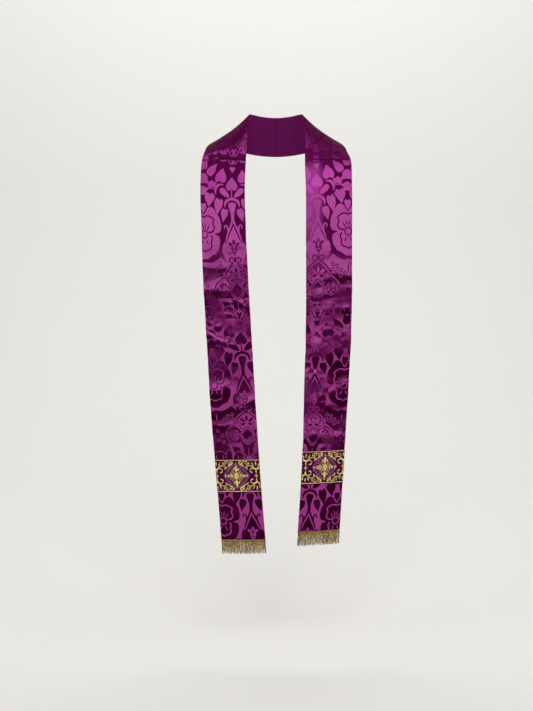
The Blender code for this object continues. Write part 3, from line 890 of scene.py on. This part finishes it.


# The figures' long warp floats and the ground's weft floats catch the light the other way round;
# the colours for each slope below are painted light and painted shade
WARP, WEFT, PLAIN = (2200.0, 160.0, 1.0), (160.0, 2200.0, 1.0), (900.0, 900.0, 1.0)
BRIGHT, SOFT, MIDDLE = (0.53, 0.082, 0.40), (0.40, 0.052, 0.30), (0.40, 0.050, 0.285)
DULL, DARK, SHADE = (0.14, 0.006, 0.085), (0.105, 0.003, 0.060), (0.090, 0.002, 0.050)
DEEP, LINING = (0.030, 0.0, 0.013), (0.16, 0.010, 0.11)
warp_slopes = ((-0.22, DEEP), (0.0, (0.040, 0.0, 0.018)), (0.05, (0.09, 0.003, 0.050)), (0.13, BRIGHT),
               (0.28, BRIGHT), (0.40, SOFT), (0.50, SOFT), (0.60, SHADE))
shaded_slopes = ((-0.20, DEEP), (0.15, DULL), (0.45, (0.20, 0.016, 0.14)), (0.70, SHADE))
weft_slopes = ((-0.30, DEEP), (-0.12, DULL), (-0.03, MIDDLE), (0.05, MIDDLE), (0.12, (0.17, 0.009, 0.11)),
               (0.20, DARK), (0.50, DARK), (0.62, SHADE))
warp_satin = satin("damask_figure", warp_slopes, WARP, glare_share=0.7)
# A darker copy of the figure satin, whose darkness is painted shade
shaded_satin = satin("damask_figure_shaded", shaded_slopes, WARP)
weft_satin = satin("damask_ground", weft_slopes, WEFT, roughness=0.52, turn=0.25, glare_share=0.7)
back_cloth = satin("back_cloth", ((-0.2, LINING), (0.6, LINING)), PLAIN, roughness=0.7, anisotropic=0.0,
                   ridge=0.3, metallic=0.0)
damask = (weft_satin, warp_satin, back_cloth)
# The wearer's left neck piece has its figures in that darker satin: painted shade
neck_damask = {"right": damask, "left": (weft_satin, shaded_satin, back_cloth)}
hangs = {side: Hang(side) for side in ("right", "left")}
# Where the arches have their tops
NECK_TOPS = (0.0885 - REPEAT, 0.0885)
for side, hang in hangs.items():
    start, end = hang.nape + SLANTED_GAP / 2, -SLANTED_GAP / 2
    nape_slant = -SEAM_SLANT if side == "right" else SEAM_SLANT
    neck = shell(f"neck_{side}_cloth", hang, start, end, damask_outlines(side, start, end, NECK_TOPS),
                 neck_damask[side], (nape_slant, -SEAM_SLANT))
    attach(neck, "root")
    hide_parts(f"neck_{side}")

# Front bands
# Straight lengths of the same damask, each seamed to its neck piece on the chest. The figures run
# unbroken down to the galloon and begin again under it.
GALLOON_HEIGHT = 0.094
HEM_BELOW_GALLOON = 0.134
# Where the arches have their tops, above the galloon and below it
BAND_TOPS = (0.1105 - REPEAT, 0.1105, 0.1105 + REPEAT)
HEM_TOPS = (0.4935, 0.4935 + REPEAT)
for side, hang in hangs.items():
    start, end = SLANTED_GAP / 2, hang.hem
    join = hang.hem - HEM_BELOW_GALLOON - GALLOON_HEIGHT / 2
    outlines = [(weave, points) for weave, points in damask_outlines(side, start, join, BAND_TOPS)
                if points[:, 1].max() < join * CM]
    outlines += [(weave, points) for weave, points in damask_outlines(side, join, end, HEM_TOPS)
                 if points[:, 1].min() > join * CM]
    band = shell(f"band_{side}_cloth", hang, start, end, outlines, damask, (-SEAM_SLANT, 0.0))
    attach(band, "root")
    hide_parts(f"band_{side}")

# Galloons
# A woven purple trim with gold thread figures standing up on it, laid across each band and sewn
# along its two edges.
GOLD, TAN, VIOLET, GOLD_SHADOW = 1, 3, 4, 5
CROSS_SHARE = 0.53
STEM_AXIS = 5.7
GOLD_STEP = 0.10
GOLD_WIDENING = 1.15
GOLD_SHADOW_WIDTH = 0.32
CREST_SHARE = 0.3
# The gold line along each edge, in centimetres
LINE_INSET, LINE_WIDTH, LINE_WAVER = 0.30, 0.20, 0.015
# The trim lies on the band and is 0.5 mm thick, and its gold stands up by 0.7 mm more
TRIM_HEIGHTS = (CLOTH_THICKNESS / 2 + SEAM_GAP, CLOTH_THICKNESS / 2 + SEAM_GAP + 0.0005)
GOLD_RISE = 0.0007
GOLD_SHOULDER = 0.10
TRIM_GRID = (0.10, 0.045)
lozenge, gold_shadows, scrolls = [], [], []


def gold(points, widths, weave=GOLD):
    """A gold scroll, repeated in the four quarters round the cross and over the side stems.

    A line down its middle gives it a crest, and a painted shadow, a dark band a little wider than the scroll,
    lies round it.
    """
    figures.clear()
    wide = np.array(np.broadcast_to(widths, len(points))) * GOLD_WIDENING
    ribbon(weave, points, wide, step=GOLD_STEP)
    if weave != VIOLET:
        ribbon(weave, points, wide * CREST_SHARE, step=GOLD_STEP)
        ribbon(GOLD_SHADOW, points, wide + GOLD_SHADOW_WIDTH, step=GOLD_STEP)
    for mirror in (False, True):
        for kind, scroll in figures:
            reach = 2 * STEM_AXIS - scroll[:, 0] if mirror else scroll[:, 0]
            layer = {VIOLET: lozenge, GOLD_SHADOW: gold_shadows}.get(kind, scrolls)
            for flip in (1, -1):
                for up in (1, -1):
                    layer.append((kind, np.stack([reach * flip, scroll[:, 1] * up], axis=1)))


gold([(0.2, 3.4), (1.2, 2.7), (2.4, 1.5), (3.6, 0.2)], [0.3, 0.5, 0.55, 0.3], VIOLET)
gold([(1.0, 3.95), (1.12, 3.5), (1.6, 3.0), (2.3, 2.6), (3.0, 2.2), (3.4, 1.75)],
     [0.4, 0.5, 0.28, 0.2, 0.34, 0.1])
gold([(1.0, 3.95), (1.3, 4.15), (1.65, 3.85), (1.9, 3.1), (2.1, 2.75)], [0.3, 0.2, 0.2, 0.2, 0.2])
gold([(2.1, 2.9), (1.95, 3.5), (2.35, 4.0), (2.95, 4.05), (3.4, 3.65), (3.3, 3.1), (2.85, 2.95)],
     [0.2, 0.2, 0.22, 0.2, 0.2, 0.18, 0.12])
gold([(2.62, 3.4), (2.85, 3.5), (3.0, 3.4)], [0.24, 0.32, 0.2])
gold([(2.9, 2.25), (3.4, 2.75), (4.2, 2.85), (4.8, 2.5), (5.3, 2.0), (5.7, 1.8)],
     [0.2, 0.2, 0.22, 0.3, 0.36, 0.4])
gold([(5.5, 1.9), (4.9, 2.1), (4.25, 1.95), (4.0, 1.5), (4.3, 1.05), (4.85, 0.85)],
     [0.3, 0.3, 0.22, 0.22, 0.36, 0.12])
gold([(5.7, 2.1), (5.7, 1.5), (5.7, 0.9), (5.7, 0.3), (5.7, -0.1)], [0.5, 0.4, 0.2, 0.22, 0.34])
gold([(5.2, 0), (5.36, 0), (5.5, 0)], [0.2, 0.36, 0.2])
gold([(5.7, 2.85), (5.7, 3.4), (5.7, 4.0)], [0.16, 0.36, 0.14])
gold([(5.1, 2.7), (4.85, 3.2), (4.55, 3.75)], [0.14, 0.3, 0.1])
gold([(3.9, 3.9), (3.75, 3.4), (3.85, 3.1)], [0.1, 0.24, 0.1])
# Fine rays behind the cross
for ray in ([(0.3, 0.5), (0.75, 1.25), (1.1, 1.95)], [(0.4, 0.4), (1.15, 1.1), (1.75, 1.75)],
            [(0.5, 0.3), (1.5, 0.85), (2.35, 1.25)]):
    gold(ray, [0.12, 0.13, 0.05], TAN)
gold([(0.35, 0.45), (0.95, 1.15), (1.45, 1.9)], [0.08, 0.09, 0.05], TAN)
# The cross: a leafy bright arm up and down, and a darker one to each side
gold([(0.3, 0), (0.8, 0), (1.4, 0), (1.9, 0)], [0.5, 0.32, 0.85, 0.4], TAN)
gold([(1.1, 0.15), (1.5, 0.5), (1.9, 0.65)], [0.2, 0.28, 0.06], TAN)
gold([(1.7, 0.1), (2.1, 0.35), (2.5, 0.55)], [0.3, 0.3, 0.08], TAN)
gold([(1.9, 0), (2.5, 0), (3.0, 0)], [0.3, 0.55, 0.2], TAN)
gold([(2.9, 0.1), (3.2, 0.3), (3.35, 0.55)], [0.25, 0.25, 0.08], TAN)
gold([(3.0, 0), (3.4, 0), (3.75, 0)], [0.2, 0.25, 0.06], TAN)
gold([(0, 0.5), (0, 1.1), (0, 1.9)], [0.6, 0.3, 0.75])
gold([(0, 1.55), (0.4, 1.7), (0.75, 1.95), (0.85, 2.2)], [0.4, 0.4, 0.35, 0.1])
gold([(0, 1.9), (0, 2.4), (0, 2.95)], [0.5, 0.85, 0.3])
gold([(0, 2.9), (0, 3.35), (0, 3.75)], [0.2, 0.28, 0.08])
gold([(0, 0), (0, 0.35), (0, 0.6)], [0.9, 0.95, 0.4])


def gold_lift(points, faces, weaves):
    """How far the gold stands up: rounded, from nothing at the outline of a figure."""
    is_gold = np.zeros(len(points), bool)
    is_ground = np.zeros(len(points), bool)
    stands = (weaves == GOLD) | (weaves == TAN)
    is_gold[faces[stands].ravel()] = True
    is_ground[faces[~stands].ravel()] = True
    outline = np.flatnonzero(is_gold & is_ground)
    tree = KDTree(len(outline))
    for k in outline:
        tree.insert((*points[k], 0.0), int(k))
    tree.balance()
    lift = np.zeros(len(points))
    for k in np.flatnonzero(is_gold & ~is_ground):
        reach = min(tree.find((*points[k], 0.0))[2] / GOLD_SHOULDER, 1.0)
        lift[k] = GOLD_RISE * math.sqrt(1.0 - (1.0 - reach) ** 2)
    return lift


# Where gold's painted shade at its outline gives way to painted highlight, and where that is
# brightest, as shares of its crest, and how its threads vary
BRIGHT_FROM, BRIGHT_AT, BRIGHTEST = 0.05, 0.8, 1.3
THREAD_RANGE = (0.43, 0.56)


def gold_thread(name, colour, dark, thread, crest):
    """Metal thread: glossy, with fine twisted ridges; on a galloon it has painted shade at a figure's outline
    and a painted highlight where it is raised up to the crest, and on the fringe each thread is as pale as
    its own random value.
    """
    material, tree, shader = new_material(name)
    shader.inputs["Metallic"].default_value = 0.35
    shader.inputs["Roughness"].default_value = 0.34
    slub = thread_noise(tree, flat_cloth(tree), thread, 3.0)
    raised = tree.nodes.new("ShaderNodeAttribute")
    raised.attribute_name = "raised"
    rise = between(tree, raised.outputs["Fac"], BRIGHT_FROM * crest, BRIGHT_AT * crest, 0.0, BRIGHTEST,
                   "LINEAR")
    share = work_out(tree, "MULTIPLY", rise, between(tree, slub, *THREAD_RANGE, kind="LINEAR"))
    share.node.use_clamp = True
    tree.links.new(blend(tree, share, dark, colour), shader.inputs["Base Color"])
    ridges(tree, shader, slub, 0.5, 0.0003)
    return material


TRIM, TWIST = (300.0, 1800.0, 1.0), (270.0, 270.0, 1.0)
purple = ((-0.10, (0.03, 0.001, 0.015)), (0.02, (0.08, 0.004, 0.050)), (0.10, (0.22, 0.03, 0.17)))
violet = ((-0.10, (0.20, 0.02, 0.17)), (0.02, (0.30, 0.05, 0.26)), (0.10, (0.42, 0.09, 0.36)))
# The dark band round each gold scroll is a painted shadow
gold_shadow_slopes = ((-0.10, (0.014, 0.001, 0.006)), (0.10, (0.030, 0.002, 0.013)))
galloon_ground = satin("galloon_ground", purple, TRIM, roughness=0.5, anisotropic=0.4, turn=0.25, ridge=0.4)
galloon_violet = satin("galloon_violet", violet, TRIM, roughness=0.5, anisotropic=0.4, ridge=0.4)
galloon_gold_shadow = satin("galloon_gold_shadow", gold_shadow_slopes, TRIM, roughness=0.6, anisotropic=0.0, ridge=0.4,
                       metallic=0.1)
# Each gold goes from its dark colour, painted shade at a figure's outline, to its own colour, a painted
# highlight on its crest
galloon_gold = gold_thread("galloon_gold", (1.0, 0.86, 0.38), (0.38, 0.18, 0.03), TWIST, GOLD_RISE)
galloon_tan = gold_thread("galloon_tan", (0.85, 0.58, 0.28), (0.24, 0.10, 0.08), TWIST, GOLD_RISE)
galloon_weaves = (galloon_ground, galloon_gold, galloon_ground,
                  galloon_tan, galloon_violet, galloon_gold_shadow)
for side, hang in hangs.items():
    bottom = hang.hem - HEM_BELOW_GALLOON
    top = bottom - GALLOON_HEIGHT
    centre = np.array([CROSS_SHARE * BAND_WIDTH * CM, (top + bottom) / 2 * CM])
    outlines = [(weave, points + centre) for weave, points in lozenge + gold_shadows + scrolls]
    x = np.arange(-0.2, BAND_WIDTH * CM + 0.4, 0.25)
    for edge in (top * CM + LINE_INSET, bottom * CM - LINE_INSET):
        upper = np.stack([x, edge - LINE_WIDTH / 2 + LINE_WAVER * np.sin(9 * x)], axis=1)
        lower = np.stack([x, edge + LINE_WIDTH / 2 + LINE_WAVER * np.sin(7 * x)], axis=1)
        outlines.append((GOLD, np.vstack([upper, lower[::-1]])))
    outlines = [(weave, points) for weave, points in outlines
                if points[:, 0].max() > 0.0 and points[:, 0].min() < BAND_WIDTH * CM]
    galloon = shell(f"galloon_{side}_trim", hang, top, bottom, outlines, galloon_weaves,
                    heights=TRIM_HEIGHTS, grid=TRIM_GRID, lift=gold_lift)
    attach(galloon, "root")
    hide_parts(f"galloon_{side}")

# Fringes
# Twisted gold threads on a narrow woven heading, sewn along each hem. They hang a little uneven
# and cross one another.
FRINGE_LENGTH = 0.041
HEADING_HEIGHT = 0.007
HEADING_THICKNESS = 0.0006
HEADING_PARTS = 40
THREADS = 240
THREAD_RADIUS = 0.00046
THREAD_LAYERS = (0.0008, 0.0012, -0.0008)
THREAD_OVERLAP = 0.0004
# How much the threads differ in place, length, lean, curl and height, and how many stray further
ROOT_DRIFT, SHORTER, LEAN, CURL, HEIGHT_DRIFT = 0.6, 0.26, 0.020, 0.007, 0.0020
STRAY_SHARE, STRAYING = 0.2, 3.0
# Their waver to the front and back, and the swelling of their twist
WAVER, TWIST_SWELL = 0.0006, 0.12
# How pale the heading is, the least and the spread of the threads, and a thread's flat size
HEADING_PALE, LEAST_PALE, PALE_SPREAD = 0.3, 0.15, 0.75
FLAT_ACROSS, FLAT_DOWN = 0.0006, 0.0005
RINGS = 16
SIDES = 5


def ring_faces(rings, sides, first):
    """The faces of one tube of so many rings, with both ends closed."""
    faces = [
        (first + r * sides + k, first + r * sides + (k + 1) % sides,
         first + (r + 1) * sides + (k + 1) % sides, first + (r + 1) * sides + k)
        for r in range(rings - 1) for k in range(sides)
    ]
    faces.append(tuple(first + k for k in reversed(range(sides))))
    faces.append(tuple(first + (rings - 1) * sides + k for k in range(sides)))
    return faces


fringe_gold = gold_thread(
    "fringe_gold", (0.98, 0.72, 0.24), (0.11, 0.062, 0.012), (700.0, 200.0, 1.0), 1.5)
chance = np.random.default_rng(7)
turn = np.arange(SIDES) / SIDES * 2 * math.pi
drop = np.linspace(0.0, 1.0, RINGS)
for side, hang in hangs.items():
    top = hang.hem + SEAM_GAP
    # The heading is a flat strip: a tube of four sides across the band
    thick = HEADING_THICKNESS / 2
    place = np.array([top, top, top + HEADING_HEIGHT, top + HEADING_HEIGHT])
    height = np.array([-thick, thick, thick, -thick])
    across = np.linspace(0.0, 1.0, HEADING_PARTS + 1)
    verts = [hang.point(place, np.full(4, share), height) for share in across]
    flat = [(share * BAND_WIDTH, p) for share in across for p in place]
    pale = [HEADING_PALE] * len(flat)
    faces = ring_faces(len(across), 4, 0)
    for k in range(THREADS):
        root = np.clip((k + 0.5 + ROOT_DRIFT * (chance.random() - 0.5)) / THREADS, 0.005, 0.995)
        reach = FRINGE_LENGTH * (1.0 - SHORTER * chance.random() ** 2)
        stray = STRAYING if chance.random() < STRAY_SHARE else 1.0
        lean = LEAN * stray * (chance.random() - 0.5)
        curl = CURL * stray * (chance.random() - 0.5)
        phase = 6.3 * chance.random()
        share = np.clip(root + lean * drop ** 1.5 + curl * np.sin(9 * drop + phase) * drop, 0.004, 0.996)
        height = (HEIGHT_DRIFT * (chance.random() - 0.5) * drop + THREAD_LAYERS[k % 3]
                  + WAVER * np.sin(8 * drop + 2 * phase) * drop)
        place = top + THREAD_OVERLAP + (reach - THREAD_OVERLAP) * drop
        centre = hang.point(place, share, height)
        side_way, _, out_way = hang.ways(place, share)
        radius = THREAD_RADIUS * (1.0 + TWIST_SWELL * np.sin(60 * drop + phase))
        ring = (centre[:, None, :] + radius[:, None, None]
                * (np.cos(turn)[None, :, None] * side_way[:, None, :]
                   + np.sin(turn)[None, :, None] * out_way[:, None, :]))
        faces += ring_faces(RINGS, SIDES, len(flat))
        verts.append(ring.reshape(-1, 3))
        flat += [(share[r] * BAND_WIDTH + FLAT_ACROSS * s / SIDES, place[r] + FLAT_DOWN * s / SIDES)
                 for r in range(RINGS) for s in range(SIDES)]
        pale += [LEAST_PALE + PALE_SPREAD * chance.random()] * (RINGS * SIDES)
    fringe = cloth_piece(f"fringe_{side}_threads", np.vstack(verts), faces, [0] * len(faces), flat, pale,
                         (fringe_gold,))
    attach(fringe, "root")
    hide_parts(f"fringe_{side}")
